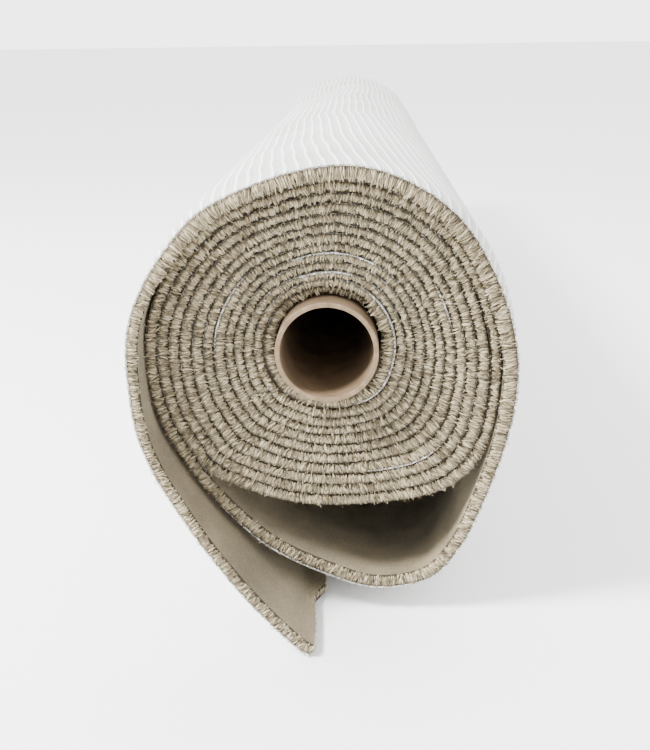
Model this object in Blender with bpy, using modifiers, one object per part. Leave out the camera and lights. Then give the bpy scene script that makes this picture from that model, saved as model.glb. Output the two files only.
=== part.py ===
"""Rolled up carpet: a two metre wide cut-pile carpet, wound pile inwards on a cardboard tube.

The carpet is one length of cloth. Its inner turns lie tight on the tube and are one wound body here.
Its last turn is loose: it leaves the wound body at the lower left, sags into a belly under the roll,
climbs the right side, passes over the top, comes down the left side and ends in a flap whose cut end
lies on the floor. X is to the right, Y runs along the roll away from its front end, Z is up.
"""
from collections import namedtuple
import math

import bmesh
import bpy
import numpy as np

MM = 0.001

# Carpet
CARPET_WIDTH = 2.0          # from selvedge to selvedge, along the roll
AXIS_HEIGHT = 0.2815        # the tables' centre over the floor

# Cardboard tube
TUBE_DIAMETER = 0.095
TUBE_WALL = 0.0045
TUBE_LENGTH = 2.025
TUBE_REACH = 0.020          # how far it stands out of the wound turns in front
TUBE_PLACE = (-0.0015, -0.002)   # its middle, across the roll and up, from the tables' centre
TUBE_SIDES = 72
TUBE_GAP = 0.0004

# Belly of the loose turn: behind its raised front lip it drops until it lies on the floor
BELLY_ANGLE = -76.0
BELLY_SPREAD = 48.0
BELLY_DROP = 0.034
LIP_LENGTH = 0.22

# Flap: behind its front corner the cut end flattens out on the floor
FLAP_ANGLE = 266.0
FLAP_SPREAD = 26.0
FLAP_DROP = 0.014
FLAP_LIP = 0.26

# Cut end of the flap, made by hand with a knife, so it wanders
CUT_ANGLE = 266.0
CUT_STEP = 2.3              # degrees that it gains a little behind the front corner
CUT_STEP_AT = 0.087
CUT_STEP_LENGTH = 0.027
CUT_WANDER = 0.9
CUT_WAVE = 0.47

# Front edge of the loose turn: it is tucked in at the right shoulder and, less, at the left one
TUCK_LENGTH = 0.030
Tuck = namedtuple("Tuck", "angle spread depth")
TUCKS = (
    Tuck(28, 52, 0.0062),
    Tuck(142, 42, 0.0050),
)

# Far part of the loose turn, past a crease round the roll: it stands off at the upper left
CREASE_AT = 1.46
CREASE_LENGTH = 0.05
CREASE_RISE = 0.0025
CREASE_FADE = 40.0          # degrees over which it starts, where the loose turn leaves the wound body
FLARE_ANGLE = 134.0
FLARE_SPREAD = 52.0
FLARE_RISE = 0.012
FLARE_AT = 1.52
FLARE_LENGTH = 0.40

# The loose turn, followed from where it leaves the wound body to the flap's cut end.
# Angle in degrees, anticlockwise from the right; the other columns in millimetres: radius of the woven
# back, thickness of back and pile, and how far the edge stands ahead of the wound body's front.
Turn = namedtuple("Turn", "angle radius thick ahead")
LOOSE_TURN = (
    Turn(-134, 190.5, 12.0, 0),
    Turn(-125, 198.3, 12.0, 0),
    Turn(-115, 209.5, 12.5, 1),
    Turn(-107, 220.5, 12.5, 2),
    Turn(-99, 230.5, 12.5, 3),
    Turn(-90, 243.5, 12.5, 4),
    Turn(-82, 257.5, 12.5, 5),
    Turn(-75, 263.4, 12.5, 5),
    Turn(-67, 262.6, 12.5, 6),
    Turn(-59, 246.0, 12.5, 7),
    Turn(-48, 220.0, 13.0, 8),
    Turn(-34, 198.0, 13.5, 8),
    Turn(-20, 184.8, 14.0, 9),
    Turn(-3, 176.8, 14.5, 10),
    Turn(14, 172.4, 15.0, 12),
    Turn(30, 171.4, 15.0, 14),
    Turn(46, 172.2, 15.0, 17),
    Turn(64, 170.0, 14.5, 20),
    Turn(84, 168.4, 14.0, 23),
    Turn(98, 165.2, 13.5, 25),
    Turn(111, 165.0, 13.5, 26),
    Turn(122, 169.4, 14.0, 28),
    Turn(133, 174.8, 14.5, 29),
    Turn(143, 176.2, 14.0, 30),
    Turn(155, 178.6, 12.5, 30),
    Turn(170, 182.6, 11.0, 31),
    Turn(190, 186.3, 10.5, 34),
    Turn(204, 194.4, 10.5, 38),
    Turn(218, 201.2, 10.5, 45),
    Turn(228, 207.9, 10.5, 51),
    Turn(238, 220.0, 10.5, 58),
    Turn(246, 233.0, 10.5, 65),
    Turn(253, 248.3, 10.5, 71),
    Turn(259, 262.8, 10.5, 78),
    Turn(266, 281.5, 10.5, 85),
    Turn(272, 286.0, 10.5, 88),
)

# Outline of the wound body, from the crevice inside the belly round to where the loose turn leaves it.
# It is flattened underneath by its own weight and pushed out at the lower right.
Wound = namedtuple("Wound", "angle radius")
WOUND_BODY = (
    Wound(-131, 177.0),
    Wound(-124, 172.0),
    Wound(-109, 166.8),
    Wound(-98, 165.0),
    Wound(-87, 164.6),
    Wound(-78, 166.5),
    Wound(-66, 173.0),
    Wound(-57, 181.0),
    Wound(-49, 185.6),
    Wound(-43, 185.8),
    Wound(-35, 181.8),
    Wound(-24, 171.4),
    Wound(-14, 164.0),
    Wound(-3, 158.6),
    Wound(10, 153.2),
    Wound(24, 150.8),
    Wound(38, 151.2),
    Wound(50, 151.8),
    Wound(63, 152.0),
    Wound(76, 151.6),
    Wound(86, 151.0),
    Wound(98, 148.4),
    Wound(111, 147.6),
    Wound(122, 151.2),
    Wound(133, 156.0),
    Wound(143, 158.2),
    Wound(155, 162.6),
    Wound(172, 169.6),
    Wound(185, 173.4),
    Wound(198, 177.6),
    Wound(208, 182.0),
    Wound(218, 184.4),
    Wound(226, 190.5),
)
WOUND_POINTS = 72

# Turns that were wound a little ahead of or behind the others: where, from the tube (0) to the
# outline (1), and by how many millimetres they stand ahead
Coil = namedtuple("Coil", "place ahead")
UNEVEN_TURNS = (
    Coil(0.12, 1.0),
    Coil(0.42, -3.0),
    Coil(0.74, 2.5),
)

# Points along the loose turn: the angle where each stretch ends, and the number of steps in it
Stretch = namedtuple("Stretch", "end steps")
LOOSE_STRETCHES = (
    Stretch(-98, 7),
    Stretch(-42, 19),
    Stretch(200, 30),
    Stretch(244, 8),
)
FLAP_STEPS = 8

# Sections across the roll, as places along the carpet's width in metres
FRONT_SECTIONS = (0.0, 0.015, 0.03, 0.06, 0.087, 0.114, 0.15, 0.20, 0.28)
REAR_SECTIONS = (0.60, 1.0, 1.45, 1.52, 1.66, 1.80, 1.92, CARPET_WIDTH)
SECTIONS = FRONT_SECTIONS + REAR_SECTIONS

PILE_COLOUR = (0.42, 0.38, 0.30, 1.0)
CARDBOARD_COLOUR = (0.20, 0.13, 0.07, 1.0)
SHARP_EDGE = 40.0           # degrees between two faces past which their edge is shaded sharp


def start_clean():
    """Remove whatever the scene holds."""
    for old in list(bpy.data.objects):
        bpy.data.objects.remove(old, do_unlink=True)


def make_material(name, colour, roughness):
    material = bpy.data.materials.new(name)
    material.use_nodes = True
    shader = material.node_tree.nodes["Principled BSDF"]
    shader.inputs["Base Color"].default_value = colour
    shader.inputs["Roughness"].default_value = roughness
    shader.inputs["Metallic"].default_value = 0.0
    return material


def follow(rows, column, angle):
    """Read one column of a table at any angle, on a smooth curve through its rows."""
    places = np.array([row.angle for row in rows], float)
    values = np.array([getattr(row, column) for row in rows], float)
    slopes = np.gradient(values, places)
    first = np.clip(np.searchsorted(places, angle) - 1, 0, len(places) - 2)
    step = places[first + 1] - places[first]
    u = (angle - places[first]) / step
    rise = values[first + 1] - values[first]
    start = slopes[first] * step
    end = slopes[first + 1] * step
    return values[first] + u * start + u**2 * (3 * rise - 2 * start - end) + u**3 * (start + end - 2 * rise)


def ease(value):
    """Run smoothly from 0 to 1 while the value does."""
    value = np.clip(value, 0.0, 1.0)
    return value * value * (3 - 2 * value)


def swell(angle, centre, spread):
    """Be 1 at the centre angle and fall smoothly to 0 at the spread to each side of it."""
    away = np.clip(np.abs(angle - centre) / spread, 0.0, 1.0)
    return np.cos(away * math.pi / 2) ** 2


def polar(angle, radius):
    """Turn angles in degrees and radii into points across the roll."""
    turn = np.radians(angle)
    return np.stack([radius * np.cos(turn), radius * np.sin(turn)], axis=1)


def cut_end(along):
    """Angle at which the flap ends at this place along the roll."""
    step = CUT_STEP * ease((along - CUT_STEP_AT) / CUT_STEP_LENGTH)
    wander = CUT_WANDER * math.sin(2 * math.pi * (along - CUT_STEP_AT) / CUT_WAVE)
    return CUT_ANGLE + step + wander * ease((along - CUT_STEP_AT) / CUT_WAVE)


def loose_angles(along):
    """Angles of the points along the loose turn."""
    angles = [float(LOOSE_TURN[0].angle)]
    for stretch in LOOSE_STRETCHES:
        angles.extend(np.linspace(angles[-1], stretch.end, stretch.steps + 1)[1:])
    angles.extend(np.linspace(angles[-1], cut_end(along), FLAP_STEPS + 1)[1:])
    return np.array(angles)


def stand_off(angle, along):
    """How much further out than the table says the loose turn lies at this place along the roll."""
    belly = BELLY_DROP * swell(angle, BELLY_ANGLE, BELLY_SPREAD) * ease(along / LIP_LENGTH)
    flap = FLAP_DROP * swell(angle, FLAP_ANGLE, FLAP_SPREAD) * ease(along / FLAP_LIP)
    leaves = ease((angle - LOOSE_TURN[0].angle) / CREASE_FADE)
    crease = CREASE_RISE * leaves * ease((along - CREASE_AT) / CREASE_LENGTH)
    flare = FLARE_RISE * swell(angle, FLARE_ANGLE, FLARE_SPREAD) * ease((along - FLARE_AT) / FLARE_LENGTH)
    tuck = sum(tuck.depth * swell(angle, tuck.angle, tuck.spread) for tuck in TUCKS)
    return belly + flap + crease + flare - tuck * ease(1 - along / TUCK_LENGTH)


def loose_section(along):
    """Points of the loose turn's back and pile side, and how far each stands ahead."""
    angle = loose_angles(along)
    radius = follow(LOOSE_TURN, "radius", angle) * MM + stand_off(angle, along)
    back = polar(angle, radius)
    back[:, 1] = np.maximum(back[:, 1], -AXIS_HEIGHT)
    run = np.gradient(back, axis=0)
    run /= np.linalg.norm(run, axis=1)[:, None]
    inwards = np.stack([-run[:, 1], run[:, 0]], axis=1)
    thick = follow(LOOSE_TURN, "thick", angle)[:, None] * MM
    return back, back + inwards * thick, follow(LOOSE_TURN, "ahead", angle) * MM


def wound_section():
    """Points round the wound body, from the crevice to where the loose turn leaves it."""
    angle = np.linspace(WOUND_BODY[0].angle, WOUND_BODY[-1].angle, WOUND_POINTS + 1)
    return polar(angle, follow(WOUND_BODY, "radius", angle) * MM)


def add_row(mesh, points, places):
    """Add a row of vertices from points across the roll and their places along it."""
    return [mesh.verts.new((point[0], place, point[1])) for point, place in zip(points, places)]


def skin(mesh, first, second, closed=False):
    """Cover the space between two rows of vertices with faces."""
    last = len(first) if closed else len(first) - 1
    for i in range(last):
        j = (i + 1) % len(first)
        mesh.faces.new((first[i], first[j], second[j], second[i]))


def cover_end(mesh, outline, forwards):
    """Close one end of the wound body, from its outline in to the hole for the tube."""
    rim = np.array([(vertex.co.x, vertex.co.z) for vertex in outline])
    place = outline[0].co.y
    directions = rim / np.linalg.norm(rim, axis=1)[:, None]
    hole = directions * (TUBE_DIAMETER / 2 + TUBE_GAP) + np.array(TUBE_PLACE)
    inner = add_row(mesh, hole, [place] * len(hole))
    before = inner
    for coil in UNEVEN_TURNS:
        ring_place = place + forwards * coil.ahead * MM
        ring = add_row(mesh, hole + (rim - hole) * coil.place, [ring_place] * len(hole))
        skin(mesh, before, ring, closed=True)
        before = ring
    skin(mesh, before, outline, closed=True)
    return inner


def make_carpet():
    """The whole carpet: wound body, loose turn and flap in one solid."""
    mesh = bmesh.new()
    wound_points = wound_section()
    rows = []
    for along in SECTIONS:
        back_points, pile_points, ahead = loose_section(along)
        places = along - ahead
        back = add_row(mesh, back_points, places)
        pile = add_row(mesh, pile_points, places)
        wound = add_row(mesh, wound_points[1:-1], [along] * (WOUND_POINTS - 1))
        rows.append((back, pile, [pile[0]] + wound + [back[0]]))
    for near, far in zip(rows, rows[1:]):
        for near_row, far_row in zip(near, far):
            skin(mesh, near_row, far_row)
        skin(mesh, [near[0][-1], near[1][-1]], [far[0][-1], far[1][-1]])
    for back, pile, _ in (rows[0], rows[-1]):
        skin(mesh, back, pile)
    front_hole = cover_end(mesh, rows[0][2], -1)
    rear_hole = cover_end(mesh, rows[-1][2], 1)
    skin(mesh, front_hole, rear_hole, closed=True)
    bmesh.ops.recalc_face_normals(mesh, faces=mesh.faces[:])
    return finish_mesh(mesh, "carpet", make_material("carpet_pile", PILE_COLOUR, 0.95))


def make_tube():
    """The cardboard tube: an open cylinder given its wall by Solidify."""
    mesh = bmesh.new()
    bmesh.ops.create_cone(mesh, cap_ends=False, segments=TUBE_SIDES, radius1=TUBE_DIAMETER / 2,
                          radius2=TUBE_DIAMETER / 2, depth=TUBE_LENGTH)
    tube = finish_mesh(mesh, "core_tube", make_material("cardboard", CARDBOARD_COLOUR, 0.85))
    wall = tube.modifiers.new("wall", "SOLIDIFY")
    wall.thickness = TUBE_WALL
    wall.offset = -1.0
    tube.rotation_euler = (math.pi / 2, 0.0, 0.0)
    tube.location = (TUBE_PLACE[0], TUBE_LENGTH / 2 - TUBE_REACH, TUBE_PLACE[1])
    return tube


def finish_mesh(mesh, name, material):
    data = bpy.data.meshes.new(name)
    mesh.to_mesh(data)
    mesh.free()
    data.materials.append(material)
    data.shade_smooth()
    data.set_sharp_from_angle(angle=math.radians(SHARP_EDGE))
    return bpy.data.objects.new(name, data)


def main():
    start_clean()
    collection = bpy.data.collections.new("rolled_carpet")
    bpy.context.scene.collection.children.link(collection)
    axis = bpy.data.objects.new("roll_axis", None)
    collection.objects.link(axis)
    carpet = make_carpet()
    tube = make_tube()
    for piece in (carpet, tube):
        collection.objects.link(piece)
        piece.parent = axis
    corners = np.array([vertex.co[:] for vertex in carpet.data.vertices])
    middle = (corners.min(axis=0) + corners.max(axis=0)) / 2
    rear = max(corners[:, 1].max(), TUBE_LENGTH - TUBE_REACH)
    middle_along = (corners[:, 1].min() + rear) / 2
    axis.location = (-middle[0], -middle_along, AXIS_HEIGHT)


main()
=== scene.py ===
"""Looks of the rolled up carpet: its cloth wound turn by turn, the cut edges' tufts and fibres, and the tube.

Roll frame: the tables below are measured round a centre line inside the tube, in degrees anticlockwise
from the right, seen from the front. The wound turns' front is at 0 along the roll.
"""
from collections import namedtuple
import math

import bmesh
import bpy
import numpy as np
from mathutils import Matrix, Vector


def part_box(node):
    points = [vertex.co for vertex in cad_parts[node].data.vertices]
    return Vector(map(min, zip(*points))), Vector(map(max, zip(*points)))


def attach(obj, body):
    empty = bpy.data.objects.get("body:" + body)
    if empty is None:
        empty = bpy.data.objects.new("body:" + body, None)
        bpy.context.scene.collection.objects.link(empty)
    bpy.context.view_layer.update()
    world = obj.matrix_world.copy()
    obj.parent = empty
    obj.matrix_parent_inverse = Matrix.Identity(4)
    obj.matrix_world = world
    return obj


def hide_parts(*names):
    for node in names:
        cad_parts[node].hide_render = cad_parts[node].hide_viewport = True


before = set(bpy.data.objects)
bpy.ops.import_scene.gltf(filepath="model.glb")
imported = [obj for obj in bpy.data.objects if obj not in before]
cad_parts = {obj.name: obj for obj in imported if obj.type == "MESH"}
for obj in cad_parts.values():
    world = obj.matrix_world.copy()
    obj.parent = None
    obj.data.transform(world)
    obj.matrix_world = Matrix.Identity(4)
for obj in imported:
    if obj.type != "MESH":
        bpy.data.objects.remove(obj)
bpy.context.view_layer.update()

MM = 0.001

# Cardboard tube, as the frame gives it
tube_low, tube_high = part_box("core_tube")
TUBE_RADIUS = (tube_high.x - tube_low.x) / 2
TUBE_WALL = 0.0045
TUBE_FRONT = tube_low.y
TUBE_REAR = tube_high.y
TUBE_PLACE = np.array([-0.0015, -0.002])    # its middle, from the tables' centre
TUBE_REACH = 0.020                          # how far it stands out of the wound turns

# Place of the roll frame in the part's frame
CENTRE = np.array([(tube_low.x + tube_high.x) / 2 - TUBE_PLACE[0],
                   TUBE_FRONT + TUBE_REACH,
                   (tube_low.z + tube_high.z) / 2 - TUBE_PLACE[1]])
FLOOR_DROP = CENTRE[2]

# Carpet
CARPET_WIDTH = 2.0
BACKING = 0.0016                            # thickness of the woven back
WOUND_TURNS = 12
FIRST_PLACE = 0.511                         # in turns, where the carpet starts at the tube
OUTER_PITCH = 0.0926                        # share of the way from tube to outline that the last turn takes
PITCH_LOSS = 0.00105                        # by how much that share falls from turn to turn inwards
TURN_GAP = 0.0006
LONGEST_PILE = 0.0125

# Belly, flap, cut end, tucked edge and far part of the loose turn, as in the part's solid
BELLY_ANGLE = -76.0
BELLY_SPREAD = 48.0
BELLY_DROP = 0.034
LIP_LENGTH = 0.22
FLAP_ANGLE = 266.0
FLAP_SPREAD = 26.0
FLAP_DROP = 0.014
FLAP_LIP = 0.26
CUT_ANGLE = 266.0
CUT_STEP = 2.3
CUT_STEP_AT = 0.087
CUT_STEP_LENGTH = 0.027
CUT_WANDER = 0.9
CUT_WAVE = 0.47
CREASE_AT = 1.46
CREASE_LENGTH = 0.05
CREASE_RISE = 0.0025
CREASE_FADE = 40.0
FLARE_ANGLE = 134.0
FLARE_SPREAD = 52.0
FLARE_RISE = 0.012
FLARE_AT = 1.52
FLARE_LENGTH = 0.40
TUCK_LENGTH = 0.030
Tuck = namedtuple("Tuck", "angle spread depth")
TUCKS = (
    Tuck(28, 52, 0.0062),
    Tuck(142, 42, 0.0050),
)

# The loose turn: radius of the woven back, thickness, and how far its edge stands ahead, in millimetres
Turn = namedtuple("Turn", "angle radius thick ahead")
LOOSE_TURN = (
    Turn(-134, 190.5, 12.0, 0),
    Turn(-125, 198.3, 12.0, 0),
    Turn(-115, 209.5, 12.5, 1),
    Turn(-107, 220.5, 12.5, 2),
    Turn(-99, 230.5, 12.5, 3),
    Turn(-90, 243.5, 12.5, 4),
    Turn(-82, 257.5, 12.5, 5),
    Turn(-75, 263.4, 12.5, 5),
    Turn(-67, 262.6, 12.5, 6),
    Turn(-59, 246.0, 12.5, 7),
    Turn(-48, 220.0, 13.0, 8),
    Turn(-34, 198.0, 13.5, 8),
    Turn(-20, 184.8, 14.0, 9),
    Turn(-3, 176.8, 14.5, 10),
    Turn(14, 172.4, 15.0, 12),
    Turn(30, 171.4, 15.0, 14),
    Turn(46, 172.2, 15.0, 17),
    Turn(64, 170.0, 14.5, 20),
    Turn(84, 168.4, 14.0, 23),
    Turn(98, 165.2, 13.5, 25),
    Turn(111, 165.0, 13.5, 26),
    Turn(122, 169.4, 14.0, 28),
    Turn(133, 174.8, 14.5, 29),
    Turn(143, 176.2, 14.0, 30),
    Turn(155, 178.6, 12.5, 30),
    Turn(170, 182.6, 11.0, 31),
    Turn(190, 186.3, 10.5, 34),
    Turn(204, 194.4, 10.5, 38),
    Turn(218, 201.2, 10.5, 45),
    Turn(228, 207.9, 10.5, 51),
    Turn(238, 220.0, 10.5, 58),
    Turn(246, 233.0, 10.5, 65),
    Turn(253, 248.3, 10.5, 71),
    Turn(259, 262.8, 10.5, 78),
    Turn(266, 281.5, 10.5, 85),
    Turn(272, 286.0, 10.5, 88),
)
LOOSE_START = LOOSE_TURN[0].angle

# Outline of the wound turns
Wound = namedtuple("Wound", "angle radius")
WOUND_BODY = (
    Wound(-134, 178.4),
    Wound(-131, 177.0),
    Wound(-124, 172.0),
    Wound(-109, 166.8),
    Wound(-98, 165.0),
    Wound(-87, 164.6),
    Wound(-78, 166.5),
    Wound(-66, 173.0),
    Wound(-57, 181.0),
    Wound(-49, 185.6),
    Wound(-43, 185.8),
    Wound(-35, 181.8),
    Wound(-24, 171.4),
    Wound(-14, 164.0),
    Wound(-3, 158.6),
    Wound(10, 153.2),
    Wound(24, 150.8),
    Wound(38, 151.2),
    Wound(50, 151.8),
    Wound(63, 152.0),
    Wound(76, 151.6),
    Wound(86, 151.0),
    Wound(98, 148.4),
    Wound(111, 147.6),
    Wound(122, 151.2),
    Wound(133, 156.0),
    Wound(143, 158.2),
    Wound(155, 162.6),
    Wound(172, 169.6),
    Wound(185, 173.4),
    Wound(198, 177.6),
    Wound(208, 182.0),
    Wound(218, 184.4),
    Wound(226, 190.5),
)

# How far the wound turns stand ahead, from the tube (0) to the outline (1), in millimetres
Coil = namedtuple("Coil", "place ahead")
UNEVEN_TURNS = (
    Coil(0.0, -1.0),
    Coil(0.12, 1.0),
    Coil(0.42, -3.0),
    Coil(0.74, 2.5),
    Coil(0.90, 2.0),
    Coil(1.0, 3.0),
)
FIRST_TURN_SET_BACK = 0.007

# Points of the cloth: degrees between two in the wound turns, the same in the loose turn, steps in the flap
WOUND_STEP = 6.0
LOOSE_STEP = 2.2
FLAP_FROM = 244.0
FLAP_STEPS = 14
STATIONS = (0.0, 0.0075, 0.012, 0.022, 0.032, 0.046, 0.062, 0.075, 0.087, 0.100, 0.114, 0.13, 0.15, 0.175,
            0.20, 0.24, 0.28, 0.38, 0.5, 0.7, 0.9, 1.1, 1.3, 1.42, 1.46, 1.485, 1.51, 1.56, 1.62, 1.68, 1.74,
            1.80, 1.86, 1.92, 1.965, 1.99, CARPET_WIDTH)

# How far the cut edges lie behind the tips of their tufts, in millimetres
WOVEN_RECESS = 2.4
PILE_RECESS = 4.6
LOOSE_RECESS = 0.5

# Stretches of the wound turns where the woven back shows at the cut: turn, middle and half width in degrees
Shown = namedtuple("Shown", "turn middle half")
SHOWN_BACKS = (
    Shown(2, -5, 62),
    Shown(3, 92, 24),
    Shown(5, 84, 30),
    Shown(6, 160, 22),
    Shown(8, 20, 14),
    Shown(9, 300, 18),
)

SEED = 7


def follow(rows, column, angle):
    """Read one column of a table at any angle, on a smooth curve through its rows."""
    places = np.array([row.angle for row in rows], float)
    values = np.array([getattr(row, column) for row in rows], float)
    slopes = np.gradient(values, places)
    first = np.clip(np.searchsorted(places, angle) - 1, 0, len(places) - 2)
    step = places[first + 1] - places[first]
    u = (angle - places[first]) / step
    rise = values[first + 1] - values[first]
    start = slopes[first] * step
    end = slopes[first + 1] * step
    return values[first] + u * start + u**2 * (3 * rise - 2 * start - end) + u**3 * (start + end - 2 * rise)


def ease(value):
    """Run smoothly from 0 to 1 while the value does."""
    value = np.clip(value, 0.0, 1.0)
    return value * value * (3 - 2 * value)


def swell(angle, centre, spread):
    """Be 1 at the centre angle and fall smoothly to 0 at the spread to each side of it."""
    away = np.clip(np.abs(angle - centre) / spread, 0.0, 1.0)
    return np.cos(away * math.pi / 2) ** 2


def polar(angle, radius):
    turn = np.radians(angle)
    return np.stack([radius * np.cos(turn), radius * np.sin(turn)], axis=-1)


def cut_end(along):
    """Angle at which the flap ends at this place along the roll."""
    step = CUT_STEP * ease((along - CUT_STEP_AT) / CUT_STEP_LENGTH)
    wander = CUT_WANDER * math.sin(2 * math.pi * (along - CUT_STEP_AT) / CUT_WAVE)
    return CUT_ANGLE + step + wander * ease((along - CUT_STEP_AT) / CUT_WAVE)


def stand_off(angle, along):
    """How much further out than the table says the loose turn lies at this place along the roll."""
    belly = BELLY_DROP * swell(angle, BELLY_ANGLE, BELLY_SPREAD) * ease(along / LIP_LENGTH)
    flap = FLAP_DROP * swell(angle, FLAP_ANGLE, FLAP_SPREAD) * ease(along / FLAP_LIP)
    leaves = ease((angle - LOOSE_START) / CREASE_FADE)
    crease = CREASE_RISE * leaves * ease((along - CREASE_AT) / CREASE_LENGTH)
    flare = FLARE_RISE * swell(angle, FLARE_ANGLE, FLARE_SPREAD) * ease((along - FLARE_AT) / FLARE_LENGTH)
    tuck = sum(tuck.depth * swell(angle, tuck.angle, tuck.spread) for tuck in TUCKS)
    return belly + flap + crease + flare - tuck * ease(1 - along / TUCK_LENGTH)


def wound_share(place):
    """Share of the way from the tube to the outline, after so many turns from the tube."""
    left = WOUND_TURNS - place
    return 1 - OUTER_PITCH * left + PITCH_LOSS * left**2


def turns_from_tube(angle):
    return WOUND_TURNS + (angle - LOOSE_START) / 360.0


def wobble(angle):
    """Slow unevenness of a turn, different from turn to turn, between about -1 and 1."""
    turn = np.radians(angle)
    return 0.5 * np.sin(1.37 * turn + 0.6) + 0.3 * np.sin(3.11 * turn) + 0.25 * np.sin(5.3 * turn + 2.0)


def wound_back(angle):
    """The woven back of the wound turns, as points across the roll."""
    place = turns_from_tube(angle)
    bearing = (angle - LOOSE_START) % 360.0 + LOOSE_START
    directions = polar(bearing, 1.0)
    hole = directions * TUBE_RADIUS + TUBE_PLACE
    rim = directions * follow(WOUND_BODY, "radius", bearing)[:, None] * MM
    last_turn = wound_share(WOUND_TURNS - 1 + (bearing - LOOSE_START) / 360.0)
    share = wound_share(place) / last_turn
    loose = ease((WOUND_TURNS - 1 - place) / 0.8) * ease((place - FIRST_PLACE) / 0.8)
    return hole + (rim - hole) * share[:, None] + directions * (wobble(angle) * loose * 0.9 * MM)[:, None]


def wound_pile(angle, back):
    """The pile side of the wound turns: it rests on the turn below, or on the tube."""
    directions = polar(angle, 1.0)
    inner = wound_back(angle - 360.0)
    tube = directions * (TUBE_RADIUS + TURN_GAP) + TUBE_PLACE
    first = turns_from_tube(angle) < FIRST_PLACE + 1
    inner[first] = tube[first]
    bearing = (angle - LOOSE_START) % 360.0 + LOOSE_START
    parted = 1.7 * MM * swell(bearing, -8.0, 48.0) * (turns_from_tube(angle) > WOUND_TURNS - 1)
    thick = np.linalg.norm(back - inner, axis=1) - TURN_GAP - parted
    return back - directions * np.minimum(thick, LONGEST_PILE)[:, None]


def loose_back(angle, along):
    back = polar(angle, follow(LOOSE_TURN, "radius", angle) * MM + stand_off(angle, along))
    back[:, 1] = np.maximum(back[:, 1], -FLOOR_DROP)
    return back


def loose_pile(angle, back):
    run = np.gradient(back, axis=0)
    run /= np.linalg.norm(run, axis=1)[:, None]
    inwards = np.stack([-run[:, 1], run[:, 0]], axis=1)
    return back + inwards * follow(LOOSE_TURN, "thick", angle)[:, None] * MM


def stands_ahead(angle):
    """How far each turn's front edge stands ahead of the wound turns' front."""
    place = turns_from_tube(angle)
    share = wound_share(np.minimum(place, WOUND_TURNS))
    uneven = np.interp(share, [coil.place for coil in UNEVEN_TURNS], [coil.ahead for coil in UNEVEN_TURNS])
    uneven = uneven + 0.9 * wobble(angle * 0.8 + 40.0)
    set_back = FIRST_TURN_SET_BACK * (1 - ease((place - FIRST_PLACE) / 1.0))
    joins = ease((LOOSE_START - angle) / 60.0)
    wound = (uneven * MM - set_back) * joins
    loose = follow(LOOSE_TURN, "ahead", np.maximum(angle, LOOSE_START)) * MM
    return np.where(angle < LOOSE_START, wound, loose)


def shown_back(angle):
    """1 where the woven back of a wound turn shows at its cut edge, 0 where tufts cover it."""
    turn = np.floor((angle - (LOOSE_START - 360.0 * WOUND_TURNS)) / 360.0) + 1
    bearing = np.mod(angle, 360.0)
    shown = np.zeros(len(angle))
    for stretch in SHOWN_BACKS:
        away = np.abs(np.mod(bearing - stretch.middle + 180.0, 360.0) - 180.0)
        shown = np.maximum(shown, (turn == stretch.turn) * ease((stretch.half - away) / 6.0))
    return shown


def recess(angle):
    """How far the woven back's cut edge and the pile's lie behind the tips of the tufts."""
    loose = ease((angle - LOOSE_START) / 30.0)
    ragged = 0.6 * wobble(angle * 3.0 + 70.0)
    woven = (WOVEN_RECESS + ragged) * (1 - 0.75 * shown_back(angle))
    woven = woven * (1 - loose) + LOOSE_RECESS * loose
    return woven * MM, (PILE_RECESS + ragged) * MM


def cloth_angles(along):
    """Angles of the cloth's points from the tube to the flap's cut end."""
    start = LOOSE_START - 360.0 * (WOUND_TURNS - FIRST_PLACE)
    wound = np.linspace(start, LOOSE_START, round((LOOSE_START - start) / WOUND_STEP) + 1)[:-1]
    loose = np.linspace(LOOSE_START, FLAP_FROM, round((FLAP_FROM - LOOSE_START) / LOOSE_STEP) + 1)
    flap = np.linspace(FLAP_FROM, cut_end(along), FLAP_STEPS + 1)[1:]
    return wound, np.concatenate([loose, flap])


def cloth_section(along):
    """Angle, back, pile side and place ahead of every point of the cloth across the roll."""
    wound, loose = cloth_angles(along)
    inner_back = wound_back(wound)
    outer_back = loose_back(loose, along)
    back = np.concatenate([inner_back, outer_back])
    pile = np.concatenate([wound_pile(wound, inner_back), loose_pile(loose, outer_back)])
    angle = np.concatenate([wound, loose])
    return angle, back, pile, stands_ahead(angle)


def in_part(across, place):
    """Points across the roll and their places along it, as points in the part's frame."""
    place = np.broadcast_to(place, across.shape[:1])
    return np.stack([across[:, 0], place, across[:, 1]], axis=1) + CENTRE


def run_length(across):
    steps = np.linalg.norm(np.diff(across, axis=0), axis=1)
    return np.concatenate([[0.0], np.cumsum(steps)])


def grid_faces(first, rows, columns, flip):
    """Faces of a grid of vertices stored row by row from the first index."""
    faces = []
    for row in range(rows - 1):
        for column in range(columns - 1):
            corner = first + row * columns + column
            face = (corner, corner + 1, corner + columns + 1, corner + columns)
            faces.append(face[::-1] if flip else face)
    return faces


def new_object(name, mesh):
    piece = bpy.data.objects.new(name, mesh)
    bpy.context.scene.collection.objects.link(piece)
    return piece


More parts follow.
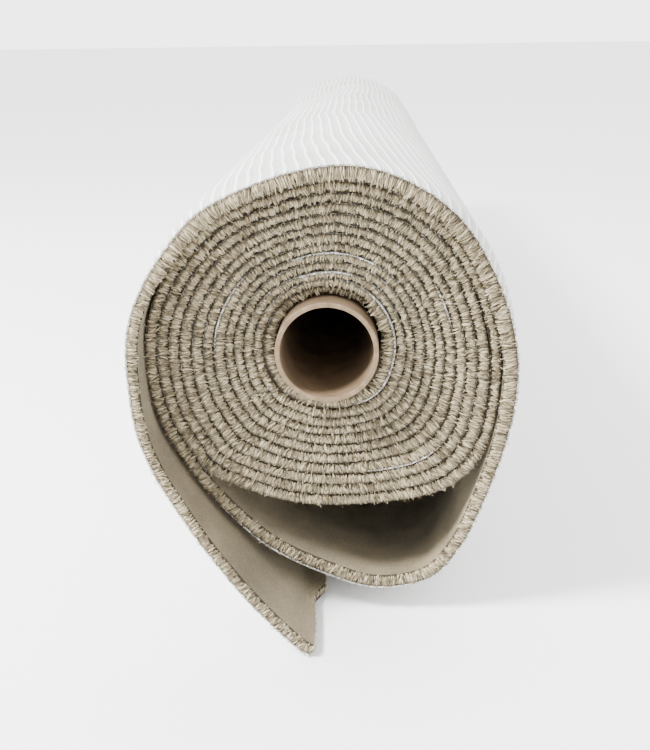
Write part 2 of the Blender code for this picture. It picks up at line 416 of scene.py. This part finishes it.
def make_cloth(materials):
    """The whole carpet as one sheet, wound from the tube to the flap, with real thickness and cut edges."""
    sections = [cloth_section(along) for along in STATIONS]
    columns = len(sections[0][0])
    lengths = run_length(sections[0][1])
    backing_share = BACKING / np.maximum(np.linalg.norm(sections[0][1] - sections[0][2], axis=1), BACKING)
    points = []
    layouts = []
    woven_recess, pile_recess = recess(sections[0][0])
    behind_tips = {STATIONS[0]: 1.0, STATIONS[-1]: -1.0}
    for side, depth in (("back", woven_recess), ("pile", pile_recess)):
        for along, (angle, back, pile, ahead) in zip(STATIONS, sections):
            across = back if side == "back" else pile
            points.append(in_part(across, along - ahead + behind_tips.get(along, 0.0) * depth))
            layouts.append(np.stack([lengths, np.full(columns, along)], axis=1))
    rows = len(STATIONS)
    for along, (angle, back, pile, ahead) in ((STATIONS[0], sections[0]), (STATIONS[-1], sections[-1])):
        across = back + (pile - back) * backing_share[:, None]
        points.append(in_part(across, along - ahead + behind_tips[along] * (woven_recess + 0.3 * MM)))
        layouts.append(np.stack([lengths, np.full(columns, along)], axis=1))
    points = np.concatenate(points)
    layouts = np.concatenate(layouts)
    back_first = 0
    pile_first = rows * columns
    front_mid = 2 * rows * columns
    rear_mid = front_mid + columns
    back_faces = grid_faces(back_first, rows, columns, True)
    pile_faces = grid_faces(pile_first, rows, columns, False)
    woven_edge = []
    pile_edge_painted_shade = []
    last_row = (rows - 1) * columns
    for column in range(columns - 1):
        near = column
        far = column + 1
        woven_edge.append((back_first + near, back_first + far, front_mid + far, front_mid + near))
        pile_edge_painted_shade.append((front_mid + near, front_mid + far, pile_first + far, pile_first + near))
        back_end = back_first + last_row
        pile_end = pile_first + last_row
        woven_edge.append((rear_mid + near, rear_mid + far, back_end + far, back_end + near))
        pile_edge_painted_shade.append((pile_end + near, pile_end + far, rear_mid + far, rear_mid + near))
    for row in range(rows - 1):
        for column, flip in ((0, False), (columns - 1, True)):
            here = row * columns + column
            there = here + columns
            face = [back_first + here, pile_first + here, pile_first + there, back_first + there]
            if row == 0:
                face = [back_first + here, front_mid + column, pile_first + here,
                        pile_first + there, back_first + there]
            if row == rows - 2:
                face = face[:-1] + [rear_mid + column, back_first + there]
            pile_edge_painted_shade.append(tuple(face if flip else face[::-1]))
    faces = back_faces + woven_edge + pile_faces + pile_edge_painted_shade
    mesh = bpy.data.meshes.new("carpet_cloth")
    mesh.from_pydata(points.tolist(), [], faces)
    # slot 2, the cut edges, takes the painted-shade edge finish
    slots = [0] * (len(back_faces) + len(woven_edge)) + [1] * len(pile_faces) + [2] * len(pile_edge_painted_shade)
    for material in materials:
        mesh.materials.append(material)
    mesh.polygons.foreach_set("material_index", slots)
    uv = mesh.uv_layers.new(name="cloth")
    corners = np.empty(len(mesh.loops), dtype=np.int32)
    mesh.loops.foreach_get("vertex_index", corners)
    uv.data.foreach_set("uv", layouts[corners].ravel())
    mesh.validate()
    tidy = bmesh.new()
    tidy.from_mesh(mesh)
    bmesh.ops.recalc_face_normals(tidy, faces=tidy.faces[:])
    tidy.to_mesh(mesh)
    tidy.free()
    mesh.shade_smooth()
    mesh.set_sharp_from_angle(angle=math.radians(50))
    return new_object("carpet_cloth", mesh), lengths[-1]


def edge_guide(name, along, inset, front):
    """A line of points along a cut edge's tuft roots, each with the way and the reach of its tuft."""
    angle, back, pile, ahead = cloth_section(along)
    lengths = run_length(back)
    fine = np.arange(0.0, lengths[-1], 0.004)
    def read(values):
        return np.stack([np.interp(fine, lengths, column) for column in values.T], axis=1)
    depth = np.linalg.norm(pile - back, axis=1)
    inwards = (pile - back) / depth[:, None]
    covered = 1 - np.maximum(0.45 * shown_back(angle), 0.6 * ease((angle - LOOSE_START) / 30.0))
    roots = read(back + inwards * (BACKING * (1 - 0.85 * covered))[:, None])
    place = np.interp(fine, lengths, ahead)
    forward = -1.0 if front else 1.0
    points = in_part(roots, along - place - forward * inset)
    mesh = bpy.data.meshes.new(name)
    mesh.from_pydata(points.tolist(), [(i, i + 1) for i in range(len(points) - 1)], [])
    ways = read(inwards)
    way = mesh.attributes.new("inward", "FLOAT_VECTOR", "POINT")
    ways = np.stack([ways[:, 0], 0 * fine, ways[:, 1]], axis=1)
    way.data.foreach_set("vector", ways.astype(np.float32).ravel())
    reach = mesh.attributes.new("reach", "FLOAT", "POINT")
    reach.data.foreach_set("value", np.interp(fine, lengths, depth - BACKING).astype(np.float32))
    outward = mesh.attributes.new("outward", "FLOAT_VECTOR", "POINT")
    outward.data.foreach_set("vector", np.tile([0.0, forward, 0.0], len(fine)).astype(np.float32))
    return new_object(name, mesh)


def cut_end_guide(name, inset):
    """The same for the flap's cut end, which runs along the roll."""
    along = np.arange(0.004, CARPET_WIDTH - 0.004, 0.004)
    roots, ways, reaches, outs = [], [], [], []
    for place in along:
        flap = np.linspace(FLAP_FROM, cut_end(place), FLAP_STEPS + 1)
        back = loose_back(flap, place)
        pile = loose_pile(flap, back)
        inward = (pile[-1] - back[-1])
        depth = np.linalg.norm(inward)
        inward /= depth
        run = back[-1] - back[-2]
        run /= np.linalg.norm(run)
        root = back[-1] + inward * BACKING - run * inset
        ahead = follow(LOOSE_TURN, "ahead", np.array([flap[-1]]))[0] * MM
        roots.append([root[0], place - ahead, root[1]])
        ways.append([inward[0], 0.0, inward[1]])
        outs.append([run[0], 0.0, run[1]])
        reaches.append(depth - BACKING)
    points = np.array(roots) + CENTRE
    mesh = bpy.data.meshes.new(name)
    mesh.from_pydata(points.tolist(), [(i, i + 1) for i in range(len(points) - 1)], [])
    for label, values in (("inward", ways), ("outward", outs)):
        mesh.attributes.new(label, "FLOAT_VECTOR", "POINT").data.foreach_set(
            "vector", np.array(values, dtype=np.float32).ravel())
    mesh.attributes.new("reach", "FLOAT", "POINT").data.foreach_set(
        "value", np.array(reaches, dtype=np.float32))
    return new_object(name, mesh)


class Tree:
    """A node tree that is being built: adds nodes, sets their values and joins them."""

    def __init__(self, name, kind):
        self.tree = bpy.data.node_groups.new(name, kind)

    def add(self, kind, values=None, **settings):
        node = self.tree.nodes.new(kind)
        for key, value in settings.items():
            setattr(node, key, value)
        for key, value in (values or {}).items():
            self.put(value, node.inputs[key])
        return node

    def put(self, value, socket):
        if isinstance(value, bpy.types.NodeSocket):
            self.tree.links.new(value, socket)
        else:
            socket.default_value = value

    def maths(self, operation, *values):
        node = self.tree.nodes.new("ShaderNodeMath")
        node.operation = operation
        for value, socket in zip(values, node.inputs):
            self.put(value, socket)
        return node.outputs[0]

    def vector(self, operation, *values):
        node = self.tree.nodes.new("ShaderNodeVectorMath")
        node.operation = operation
        for value, socket in zip(values, node.inputs):
            self.put(value, socket)
        return node.outputs[0]

    def scaled(self, value, factor):
        node = self.tree.nodes.new("ShaderNodeVectorMath")
        node.operation = "SCALE"
        self.put(value, node.inputs[0])
        self.put(factor, node.inputs["Scale"])
        return node.outputs[0]


def attribute(tree, name, kind):
    node = tree.add("GeometryNodeInputNamedAttribute", {"Name": name}, data_type=kind)
    return node.outputs["Attribute"]


def random_number(tree, low, high, seed):
    node = tree.add("FunctionNodeRandomValue", data_type="FLOAT")
    node.inputs[2].default_value = low
    node.inputs[3].default_value = high
    tree.put(seed, node.inputs["Seed"])
    return node.outputs[1]


def random_vector(tree, size, seed):
    node = tree.add("FunctionNodeRandomValue", data_type="FLOAT_VECTOR")
    node.inputs[0].default_value = (-size, -size, -size)
    node.inputs[1].default_value = (size, size, size)
    tree.put(seed, node.inputs["Seed"])
    return node.outputs[0]


TIP_RADIUS = 0.26       # of a tuft, as shares of its yarn's width
ROOT_RADIUS = 0.42
CLUMP_SCALE = 170.0     # noise scales along a cut edge
TINT_SCALE = 260.0
BEND_SCALE = 150.0


def tuft_row_tree():
    """Yarn tufts along a guide line: each leans with its clump and reaches as far as the guide says."""
    tree = Tree("tuft_row", "GeometryNodeTree")
    face = tree.tree.interface
    face.new_socket("Guide", in_out="INPUT", socket_type="NodeSocketGeometry")
    for name, kind in (("Spacing", "Float"), ("Yarn width", "Float"), ("Lean out", "Float"),
                       ("Clump lean", "Float"),
                       ("Scatter", "Float"), ("Shortest", "Float"), ("Longest", "Float"), ("Curl", "Float"),
                       ("Seed", "Int"), ("Sides", "Int"), ("Material", "Material")):
        face.new_socket(name, in_out="INPUT", socket_type="NodeSocket" + kind)
    face.new_socket("Tufts", in_out="OUTPUT", socket_type="NodeSocketGeometry")
    given = tree.add("NodeGroupInput").outputs

    line = tree.add("GeometryNodeMeshToCurve", {"Mesh": given["Guide"]})
    spread = tree.add("GeometryNodeResampleCurve",
                      {"Curve": line.outputs[0], "Length": given["Spacing"]}, mode="LENGTH")
    jitter = tree.scaled(random_vector(tree, 1.0, given["Seed"]), given["Scatter"])
    moved = tree.add("GeometryNodeSetPosition", {"Geometry": spread.outputs[0], "Offset": jitter})
    spot = tree.add("GeometryNodeInputPosition").outputs[0]

    clumps = tree.add("ShaderNodeTexNoise", {"Vector": spot, "Scale": CLUMP_SCALE, "Detail": 1.0})
    lean = tree.vector("SUBTRACT", clumps.outputs["Color"], (0.5, 0.5, 0.5))
    lean = tree.scaled(lean, given["Clump lean"])
    stray = random_vector(tree, 0.16, tree.maths("ADD", given["Seed"], 11.0))
    out = tree.scaled(attribute(tree, "outward", "FLOAT_VECTOR"), given["Lean out"])
    way = tree.vector("ADD", attribute(tree, "inward", "FLOAT_VECTOR"), lean)
    way = tree.vector("ADD", tree.vector("ADD", way, stray), out)
    turn = tree.add("FunctionNodeAlignRotationToVector", {"Vector": way}, axis="Z")
    twist = tree.add("FunctionNodeAxisAngleToRotation",
                     {"Axis": (0.0, 0.0, 1.0), "Angle": random_number(tree, 0.0, 6.28, given["Seed"])})
    pose = tree.add("FunctionNodeRotateRotation",
                    {"Rotation": turn.outputs[0], "Rotate By": twist.outputs[0]}, rotation_space="LOCAL")

    tuft = tree.add("GeometryNodeMeshCone",
                    {"Vertices": given["Sides"], "Side Segments": 2, "Radius Top": TIP_RADIUS,
                     "Radius Bottom": ROOT_RADIUS, "Depth": 1.0}, fill_type="NGON")
    height = tree.add("ShaderNodeSeparateXYZ", {"Vector": tree.add("GeometryNodeInputPosition").outputs[0]})
    bulge = tree.maths("MULTIPLY", tree.maths("MULTIPLY", height.outputs["Z"],
                                              tree.maths("SUBTRACT", 1.0, height.outputs["Z"])), 3.0)
    fat = tree.maths("ADD", 0.78, bulge)
    shape = tree.add("ShaderNodeCombineXYZ", {"X": tree.maths("MULTIPLY", height.outputs["X"], fat),
                                              "Y": tree.maths("MULTIPLY", height.outputs["Y"], fat),
                                              "Z": height.outputs["Z"]})
    shaped = tree.add("GeometryNodeSetPosition",
                      {"Geometry": tuft.outputs["Mesh"], "Position": shape.outputs[0]})
    tipped = tree.add("GeometryNodeStoreNamedAttribute",
                      {"Geometry": shaped.outputs[0], "Name": "tip", "Value": height.outputs["Z"]},
                      data_type="FLOAT", domain="POINT")

    tint = tree.add("ShaderNodeTexNoise", {"Vector": spot, "Scale": TINT_SCALE, "Detail": 3.0})
    shade = tree.maths("ADD", tree.maths("MULTIPLY", tint.outputs[0], 0.6),
                       random_number(tree, 0.0, 0.4, tree.maths("ADD", given["Seed"], 5.0)))
    shaded = tree.add("GeometryNodeStoreNamedAttribute",
                      {"Geometry": moved.outputs[0], "Name": "tint", "Value": shade},
                      data_type="FLOAT", domain="POINT")
    length = random_number(tree, 0.0, 1.0, tree.maths("ADD", given["Seed"], 3.0))
    spare = tree.maths("SUBTRACT", given["Longest"], given["Shortest"])
    length = tree.maths("ADD", given["Shortest"], tree.maths("MULTIPLY", length, spare))
    length = tree.maths("MULTIPLY", length, attribute(tree, "reach", "FLOAT"))
    wide = tree.maths("MULTIPLY", given["Yarn width"],
                      random_number(tree, 0.75, 1.25, tree.maths("ADD", given["Seed"], 8.0)))
    size = tree.add("ShaderNodeCombineXYZ", {"X": wide, "Y": wide, "Z": length})
    planted = tree.add("GeometryNodeInstanceOnPoints",
                       {"Points": shaded.outputs[0], "Instance": tipped.outputs[0],
                        "Rotation": pose.outputs[0], "Scale": size.outputs[0]})
    real = tree.add("GeometryNodeRealizeInstances", {"Geometry": planted.outputs[0]})
    grown = tree.add("GeometryNodeInputPosition").outputs[0]
    bend = tree.add("ShaderNodeTexNoise",
                    {"Vector": grown, "Scale": BEND_SCALE, "Detail": 2.0, "Roughness": 0.7})
    bend = tree.vector("SUBTRACT", bend.outputs["Color"], (0.5, 0.5, 0.5))
    bend = tree.scaled(bend, tree.maths("MULTIPLY", attribute(tree, "tip", "FLOAT"), given["Curl"]))
    bent = tree.add("GeometryNodeSetPosition", {"Geometry": real.outputs[0], "Offset": bend})
    finished = tree.add("GeometryNodeSetMaterial",
                        {"Geometry": bent.outputs[0], "Material": given["Material"]})
    smooth = tree.add("GeometryNodeSetShadeSmooth", {"Geometry": finished.outputs[0]})
    tree.add("NodeGroupOutput", {"Tufts": smooth.outputs[0]})
    return tree.tree


def grow(guide, tree, **sizes):
    """Run a tree on a guide with these named sizes, and keep the result as the guide's own plain mesh."""
    modifier = guide.modifiers.new("grow", "NODES")
    modifier.node_group = tree
    named = {item.name: item.identifier for item in tree.interface.items_tree if item.in_out == "INPUT"}
    for name, value in sizes.items():
        modifier[named[name.replace("_", " ")]] = value
    graph = bpy.context.evaluated_depsgraph_get()
    mesh = bpy.data.meshes.new_from_object(guide.evaluated_get(graph))
    mesh.name = guide.name
    guide.modifiers.remove(modifier)
    guide.data = mesh
    return guide


class Finish:
    """A material that is being built round one Principled shader."""

    def __init__(self, name, roughness, **constants):
        self.material = bpy.data.materials.new(name)
        self.material.use_nodes = True
        self.tree = self.material.node_tree
        self.shader = self.tree.nodes["Principled BSDF"]
        self.shader.inputs["Roughness"].default_value = roughness
        for key, value in constants.items():
            self.shader.inputs[key.replace("_", " ")].default_value = value

    add = Tree.add
    put = Tree.put
    maths = Tree.maths
    vector = Tree.vector
    scaled = Tree.scaled

    def coordinates(self, source, scale=(1.0, 1.0, 1.0)):
        if source == "cloth":
            start = self.add("ShaderNodeUVMap", uv_map="cloth").outputs[0]
        else:
            start = self.add("ShaderNodeTexCoord").outputs["Object"]
        return self.add("ShaderNodeMapping", {"Vector": start, "Scale": scale}).outputs[0]

    def noise(self, vector, scale, detail=2.0, roughness=0.5):
        node = self.add("ShaderNodeTexNoise",
                        {"Vector": vector, "Scale": scale, "Detail": detail, "Roughness": roughness})
        return node.outputs[0]

    def ramp(self, value, *stops):
        node = self.add("ShaderNodeValToRGB", {"Fac": value})
        while len(node.color_ramp.elements) < len(stops):
            node.color_ramp.elements.new(0.5)
        for element, (place, colour) in zip(node.color_ramp.elements, stops):
            element.position = place
            element.color = (*colour, 1.0)
        return node.outputs[0]

    def bump(self, height, strength, distance, before=None):
        node = self.add("ShaderNodeBump", {"Height": height, "Strength": strength, "Distance": distance})
        if before is not None:
            self.put(before, node.inputs["Normal"])
        return node.outputs[0]

    def done(self, colour, normal=None):
        self.put(colour, self.shader.inputs["Base Color"])
        if normal is not None:
            self.put(normal, self.shader.inputs["Normal"])
        return self.material


# the darkest pile colour is the pile's darker random tone, and also the painted shade at tuft roots and on
# the cut edges
PILE_DARK_TONE_AND_SHADE = (0.062, 0.046, 0.025)
PILE_MID = (0.27, 0.218, 0.128)
PILE_LIGHT = (0.62, 0.53, 0.35)
# the back's darker colour is painted shade in the rib grooves and random soiling
BACK_SHADE_AND_SOILING = (0.40, 0.405, 0.385)
BACK_LIGHT = (0.90, 0.90, 0.88)


def yarn_finish():
    """Cut yarn: each tuft has its own tone, darkened by painted shade towards its root, with fine fibres
    along it.
    """
    look = Finish("cut_yarn", 0.9, Sheen_Weight=0.06, Sheen_Roughness=0.5)
    tint = look.add("ShaderNodeAttribute", attribute_name="tint").outputs["Fac"]
    tip = look.add("ShaderNodeAttribute", attribute_name="tip").outputs["Fac"]
    # painted shade: over the third of each tuft nearest its root, its colour falls to 0.35 of its tone,
    # standing for the shade between the turns
    out = look.maths("MINIMUM", look.maths("MULTIPLY", tip, 3.0), 1.0)
    shade = look.maths("MULTIPLY", tint, look.maths("ADD", 0.35, look.maths("MULTIPLY", out, 0.65)))
    colour = look.ramp(shade, (0.16, PILE_DARK_TONE_AND_SHADE), (0.42, PILE_MID), (0.62, PILE_LIGHT))
    fibres = look.noise(look.coordinates("Object"), 2600.0, 3.0)
    return look.done(colour, look.bump(fibres, 0.5, 0.0004))


def pile_finish():
    """Velvety face of the pile, brushed in patches."""
    look = Finish("cut_pile", 0.95, Sheen_Weight=0.08, Sheen_Roughness=0.45)
    space = look.coordinates("Object")
    grain = look.noise(space, 900.0, 3.0, 0.65)
    patches = look.noise(space, 22.0, 3.0)
    mixed = look.maths("ADD", look.maths("MULTIPLY", grain, 0.7), look.maths("MULTIPLY", patches, 0.3))
    colour = look.ramp(mixed, (0.30, PILE_DARK_TONE_AND_SHADE), (0.60, PILE_MID), (0.92, PILE_LIGHT))
    return look.done(colour, look.bump(grain, 0.8, 0.0016))


def edge_shade_finish():
    """Depth of a cut edge behind its tufts: painted shade, nearly black, combed from back to pile."""
    look = Finish("pile_edge_painted_shade", 0.95)
    combed = look.noise(look.coordinates("cloth", (900.0, 60.0, 1.0)), 1.0, 2.0)
    # painted shade: the recessed cut edge is coloured nearly black, darker than any yarn, for the shade
    # behind the tufts
    colour = look.ramp(combed, (0.3, (0.035, 0.027, 0.016)), (0.7, PILE_DARK_TONE_AND_SHADE))
    return look.done(colour, look.bump(combed, 0.6, 0.001))


RIB_PITCH = 0.0115      # of the woven back
SKEW = 0.050            # how far its ribs run askew near the front edge
SKEW_LENGTH = 0.8
SWAY = 0.020
FOLDS = (1.45, 1.61, 1.74)      # soft creases across it, along the roll
FOLD_HALF = 0.022


def backing_finish():
    """Off-white woven back with ribs along the roll that sway together, with painted highlight on their
    crests and painted shade in their grooves.
    """
    look = Finish("woven_back", 0.8, Sheen_Weight=0.1)
    cloth = look.coordinates("cloth")
    parts = look.add("ShaderNodeSeparateXYZ", {"Vector": cloth}).outputs
    near = look.maths("SUBTRACT", 1.0, look.maths("DIVIDE", parts["Y"], SKEW_LENGTH))
    near = look.maths("MAXIMUM", near, 0.0)
    skew = look.maths("MULTIPLY", look.maths("POWER", near, 1.6), SKEW)
    sway = look.maths("MULTIPLY", look.noise(look.coordinates("cloth", (1.6, 3.2, 1.0)), 1.0, 2.0), SWAY)
    across = look.maths("ADD", look.maths("ADD", parts["X"], skew), sway)
    wave = look.maths("SINE", look.maths("MULTIPLY", across, 2 * math.pi / RIB_PITCH))
    fine_wave = look.maths("SINE", look.maths("MULTIPLY", across, 4 * math.pi / RIB_PITCH))
    rib = look.maths("POWER", look.maths("MULTIPLY", look.maths("ADD", wave, 1.0), 0.5), 5.0)
    fine_rib = look.maths("POWER", look.maths("MULTIPLY", look.maths("ADD", fine_wave, 1.0), 0.5), 4.0)
    rib = look.maths("ADD", rib, look.maths("MULTIPLY", fine_rib, 0.22))
    weave = look.noise(look.coordinates("cloth", (1.0, 1.0, 1.0)), 700.0, 2.0)
    soiling = look.noise(cloth, 6.0, 4.0)
    # painted highlight and shade: the ribs colour the back lighter on their crests and darker in the grooves
    # between them, besides their bump; soiling adds random darker patches
    tone = look.maths("ADD", look.maths("MULTIPLY", rib, 0.55), look.maths("MULTIPLY", soiling, 0.45))
    colour = look.ramp(tone, (0.12, BACK_SHADE_AND_SOILING), (0.75, BACK_LIGHT))
    folds = 0.0
    for place in FOLDS:
        off = look.maths("ABSOLUTE", look.maths("SUBTRACT", parts["Y"], place))
        ridge = look.maths("MAXIMUM", look.maths("SUBTRACT", 1.0, look.maths("DIVIDE", off, FOLD_HALF)), 0.0)
        folds = look.maths("ADD", folds, ridge)
    normal = look.bump(rib, 0.8, 0.0016)
    normal = look.bump(folds, 0.7, 0.006, normal)
    normal = look.bump(weave, 0.4, 0.0005, normal)
    return look.done(colour, normal)


STRIP_WIDTH = 0.11      # of the tube's paper, along the tube
STRIP_SLOPE = 0.42
STRIP_SEAM = 0.012      # share of a strip that its seam takes


def cardboard_finish():
    """Brown paper wound in a spiral, with the seams of its strips."""
    look = Finish("tube_paper", 0.8)
    space = look.coordinates("cloth")
    parts = look.add("ShaderNodeSeparateXYZ", {"Vector": space}).outputs
    run = look.maths("ADD", parts["Y"], look.maths("MULTIPLY", parts["X"], STRIP_SLOPE))
    helix = look.maths("FRACT", look.maths("DIVIDE", run, STRIP_WIDTH))
    seam = look.maths("LESS_THAN", helix, STRIP_SEAM)
    fibres = look.noise(look.coordinates("cloth", (60.0, 900.0, 1.0)), 1.0, 3.0)
    blotches = look.noise(space, 30.0, 3.0)
    tone = look.maths("ADD", look.maths("MULTIPLY", fibres, 0.5), look.maths("MULTIPLY", blotches, 0.5))
    tone = look.maths("SUBTRACT", tone, look.maths("MULTIPLY", seam, 0.25))
    colour = look.ramp(tone, (0.3, (0.075, 0.045, 0.02)), (0.6, (0.16, 0.105, 0.055)),
                       (0.8, (0.24, 0.17, 0.10)))
    height = look.maths("SUBTRACT", fibres, seam)
    return look.done(colour, look.bump(height, 0.4, 0.0004))


def cardboard_end_finish():
    """Cut end of the tube: rings of paper plies."""
    look = Finish("tube_end", 0.85)
    rings = look.noise(look.coordinates("cloth", (90.0, 1.0, 1.0)), 1.0, 2.0)
    plies = look.add("ShaderNodeSeparateXYZ", {"Vector": look.coordinates("cloth")}).outputs["Y"]
    ply = look.maths("SINE", look.maths("MULTIPLY", plies, 2 * math.pi / 0.0007))
    tone = look.maths("ADD", look.maths("MULTIPLY", rings, 0.8), look.maths("MULTIPLY", ply, 0.08))
    colour = look.ramp(tone, (0.2, (0.12, 0.08, 0.04)), (0.5, (0.22, 0.155, 0.09)), (0.8, (0.36, 0.27, 0.17)))
    return look.done(colour, look.bump(tone, 0.5, 0.0005))


def floor_finish():
    look = Finish("studio_floor", 0.9)
    return look.done((0.92, 0.92, 0.92, 1.0))


TUBE_LIP = 0.0006
TUBE_SIDES = 120


def make_tube(wall_finish, end_finish):
    """The cardboard tube: a turned wall with softened lips."""
    outer = TUBE_RADIUS
    inner = TUBE_RADIUS - TUBE_WALL
    front, rear = TUBE_FRONT, TUBE_REAR
    profile = [
        (outer, front + TUBE_LIP), (outer, front + 0.02), (outer, rear - 0.02), (outer, rear - TUBE_LIP),
        (outer - TUBE_LIP, rear), (inner + TUBE_LIP, rear), (inner, rear - TUBE_LIP), (inner, rear - 0.02),
        (inner, front + 0.02), (inner, front + TUBE_LIP),
        (inner + TUBE_LIP, front), (outer - TUBE_LIP, front),
    ]
    ends = {(3, 4), (4, 5), (5, 6), (9, 10), (10, 11), (11, 0)}
    middle = CENTRE + np.array([TUBE_PLACE[0], 0.0, TUBE_PLACE[1]])
    mesh = bmesh.new()
    uv = mesh.loops.layers.uv.new("cloth")
    rings = []
    for side in range(TUBE_SIDES):
        turn = 2 * math.pi * side / TUBE_SIDES
        rings.append([mesh.verts.new((middle[0] + radius * math.cos(turn), place,
                                      middle[2] + radius * math.sin(turn)))
                      for radius, place in profile])
    for side in range(TUBE_SIDES):
        there = (side + 1) % TUBE_SIDES
        for first in range(len(profile)):
            second = (first + 1) % len(profile)
            face = mesh.faces.new((rings[side][first], rings[side][second],
                                   rings[there][second], rings[there][first]))
            face.smooth = True
            at_end = (first, second) in ends
            face.material_index = 1 if at_end else 0
            for loop, (step, row) in zip(face.loops, ((0, first), (0, second), (1, second), (1, first))):
                arc = 2 * math.pi * (side + step) / TUBE_SIDES * TUBE_RADIUS
                radius, place = profile[row]
                loop[uv].uv = (arc, radius if at_end else place)
    bmesh.ops.recalc_face_normals(mesh, faces=mesh.faces[:])
    data = bpy.data.meshes.new("paper_tube")
    mesh.to_mesh(data)
    mesh.free()
    data.materials.append(wall_finish)
    data.materials.append(end_finish)
    data.set_sharp_from_angle(angle=math.radians(40))
    return new_object("paper_tube", data)


VIEW_WAY = (-0.0389, 0.9428, -0.3312)
VIEW_UP = (0.0, 0.3315, 0.9435)
VIEW_PLACE = (0.0305, -0.84, 0.2654)        # of the camera, from the tables' centre
VIEW_SENSOR = 36.0
VIEW_LENS = 45.6
FLOOR_HALF = 150.0
FLOOR_BELOW = 0.0005
DOME_TOWARDS = (0.0, 0.75, 0.65)            # where the dome is brightest
DOME_WEAKEST = 0.15
DOME_STRONGEST = 4.2
KEY_PLACE = (-2.3, -1.7, 2.7)
KEY_AIM = (0.0, -0.5, 0.25)
KEY_SIZE = 0.9
KEY_POWER = 460.0


def make_camera():
    """The photograph's view: from the front, a little to the right and above."""
    look = Vector(VIEW_WAY)
    up = Vector(VIEW_UP)
    right = look.cross(up).normalized()
    up = right.cross(look).normalized()
    data = bpy.data.cameras.new("camera")
    data.sensor_width = VIEW_SENSOR
    data.lens = VIEW_LENS
    camera = bpy.data.objects.new("camera", data)
    turn = Matrix((right, up, -look)).transposed().to_4x4()
    camera.matrix_world = Matrix.Translation(Vector(CENTRE) + Vector(VIEW_PLACE)) @ turn
    bpy.context.scene.collection.objects.link(camera)
    bpy.context.scene.camera = camera


def make_floor():
    mesh = bmesh.new()
    bmesh.ops.create_grid(mesh, x_segments=1, y_segments=1, size=FLOOR_HALF)
    data = bpy.data.meshes.new("floor")
    mesh.to_mesh(data)
    mesh.free()
    data.materials.append(floor_finish())
    floor = new_object("floor", data)
    floor.location.z = -FLOOR_BELOW


def area_light(name, place, aim, size, power):
    data = bpy.data.lights.new(name, "AREA")
    data.shape = "DISK"
    data.size = size
    data.energy = power
    light = bpy.data.objects.new(name, data)
    light.location = place
    light.rotation_euler = (Vector(aim) - Vector(place)).to_track_quat("-Z", "Y").to_euler()
    bpy.context.scene.collection.objects.link(light)


def make_light():
    """A soft studio dome, brighter above and behind the roll than in front of it, and a key from the left."""
    world = bpy.data.worlds.new("studio")
    world.use_nodes = True
    nodes = world.node_tree.nodes
    links = world.node_tree.links
    background = nodes["Background"]
    background.inputs["Color"].default_value = (1.0, 1.0, 1.0, 1.0)
    way = nodes.new("ShaderNodeTexCoord")
    facing = nodes.new("ShaderNodeVectorMath")
    facing.operation = "DOT_PRODUCT"
    facing.inputs[1].default_value = DOME_TOWARDS
    links.new(way.outputs["Generated"], facing.inputs[0])
    dome = nodes.new("ShaderNodeMapRange")
    dome.inputs["From Min"].default_value = -0.75
    dome.inputs["From Max"].default_value = 0.7
    dome.inputs["To Min"].default_value = DOME_WEAKEST
    dome.inputs["To Max"].default_value = DOME_STRONGEST
    links.new(facing.outputs["Value"], dome.inputs["Value"])
    links.new(dome.outputs[0], background.inputs["Strength"])
    bpy.context.scene.world = world
    area_light("key", KEY_PLACE, KEY_AIM, KEY_SIZE, KEY_POWER)


def main():
    make_camera()
    woven = backing_finish()
    cloth, length = make_cloth((woven, pile_finish(), edge_shade_finish()))
    yarn = yarn_finish()
    tree = tuft_row_tree()
    pieces = [cloth]
    shared = dict(Material=yarn, Sides=3)
    rows = (
        ("front_tufts", edge_guide("front_tufts", 0.0, 0.0010, True),
         dict(Spacing=0.00070, Yarn_width=0.00135, Lean_out=0.12, Clump_lean=1.1, Scatter=0.0008,
              Shortest=0.66, Longest=1.20, Curl=0.0095, Seed=SEED)),
        ("second_tufts", edge_guide("second_tufts", 0.0, 0.0022, True),
         dict(Spacing=0.00070, Yarn_width=0.0015, Lean_out=0.06, Clump_lean=0.9, Scatter=0.0007,
              Shortest=0.72, Longest=1.12, Curl=0.008, Seed=SEED + 1)),
        ("third_tufts", edge_guide("third_tufts", 0.0, 0.0036, True),
         dict(Spacing=0.00080, Yarn_width=0.0018, Lean_out=0.03, Clump_lean=0.6, Scatter=0.0006,
              Shortest=0.88, Longest=1.02, Curl=0.004, Seed=SEED + 4)),
        ("loose_fibres", edge_guide("loose_fibres", 0.0, 0.0008, True),
         dict(Spacing=0.0016, Yarn_width=0.0006, Lean_out=0.55, Clump_lean=2.2, Scatter=0.0030,
              Shortest=0.35, Longest=0.85, Curl=0.012, Seed=SEED + 5)),
        ("rear_tufts", edge_guide("rear_tufts", CARPET_WIDTH, 0.0010, False),
         dict(Spacing=0.00090, Yarn_width=0.0017, Lean_out=0.12, Clump_lean=1.0, Scatter=0.0007,
              Shortest=0.75, Longest=1.04, Curl=0.007, Seed=SEED + 2)),
        ("cut_end_tufts", cut_end_guide("cut_end_tufts", 0.0006),
         dict(Spacing=0.00080, Yarn_width=0.0014, Lean_out=0.15, Clump_lean=1.0, Scatter=0.0006,
              Shortest=0.75, Longest=1.04, Curl=0.006, Seed=SEED + 3)),
    )
    for name, guide, sizes in rows:
        pieces.append(grow(guide, tree, **shared, **sizes))
    tube = make_tube(cardboard_finish(), cardboard_end_finish())
    for piece in pieces:
        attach(piece, "root")
    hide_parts("carpet")
    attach(tube, "root")
    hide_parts("core_tube")
    make_floor()
    make_light()


main()
